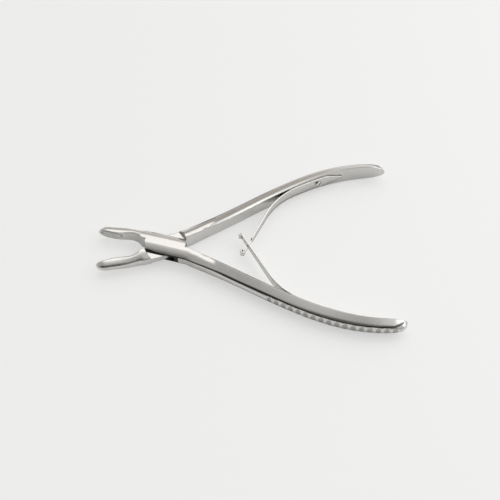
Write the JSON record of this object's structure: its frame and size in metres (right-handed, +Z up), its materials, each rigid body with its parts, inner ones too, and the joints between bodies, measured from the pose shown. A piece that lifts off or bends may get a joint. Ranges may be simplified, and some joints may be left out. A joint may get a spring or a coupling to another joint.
{
  "type": "bone rongeur",
  "caption": "Single-action bone rongeur with cupped jaws, a box lock, scalloped handles and two interlocked leaf springs that hold it open.",
  "frame": {"origin": "the pivot axis at the flat land on the underside of the box lock", "axes": "+Z up along the pivot axis, +X from the pivot towards the handles along the middle line of the open tool, +Y towards the male half's handle"},
  "size_m": [0.1505, 0.1062, 0.0098],
  "materials": {
    "satin_steel": "fine satin, brushed along the arms",
    "polished_steel": "polished flush",
    "spring_steel": "bright rolled strip",
    "screw_steel": "turned and polished"
  },
  "bodies": {
    "female_side": {"female_half": "satin_steel", "pivot_pin": "polished_steel", "slotted_leaf_screw": "screw_steel"},
    "male_side": {"male_half": "satin_steel", "tongue_leaf_screw": "screw_steel"},
    "tongue_leaf": {"tongue_leaf_spring": "spring_steel"},
    "slotted_leaf": {"slotted_leaf_spring": "spring_steel"}
  },
  "joints": [
    {"name": "pivot", "type": "hinge", "parent": "female_side", "child": "male_side", "pos_m": [0, 0, 0], "axis": [0, 0, -1], "range_deg": [0, 34], "stiffness_Nm_per_rad": 1.2, "deforming": ["tongue_leaf_spring", "slotted_leaf_spring"]},
    {"name": "tongue_leaf_bend", "type": "hinge", "parent": "male_side", "child": "tongue_leaf", "pos_m": [0.06206, 0.03201, 0], "axis": [0, 0, -1], "range_deg": [0, 20]},
    {"name": "slotted_leaf_bend", "type": "hinge", "parent": "female_side", "child": "slotted_leaf", "pos_m": [0.06206, -0.03201, 0], "axis": [0, 0, 1], "range_deg": [0, 20]}
  ],
  "couplings": [
    {"joint": "tongue_leaf_bend", "follows": "pivot", "ratio": 0.582},
    {"joint": "slotted_leaf_bend", "follows": "pivot", "ratio": 0.582}
  ]
}
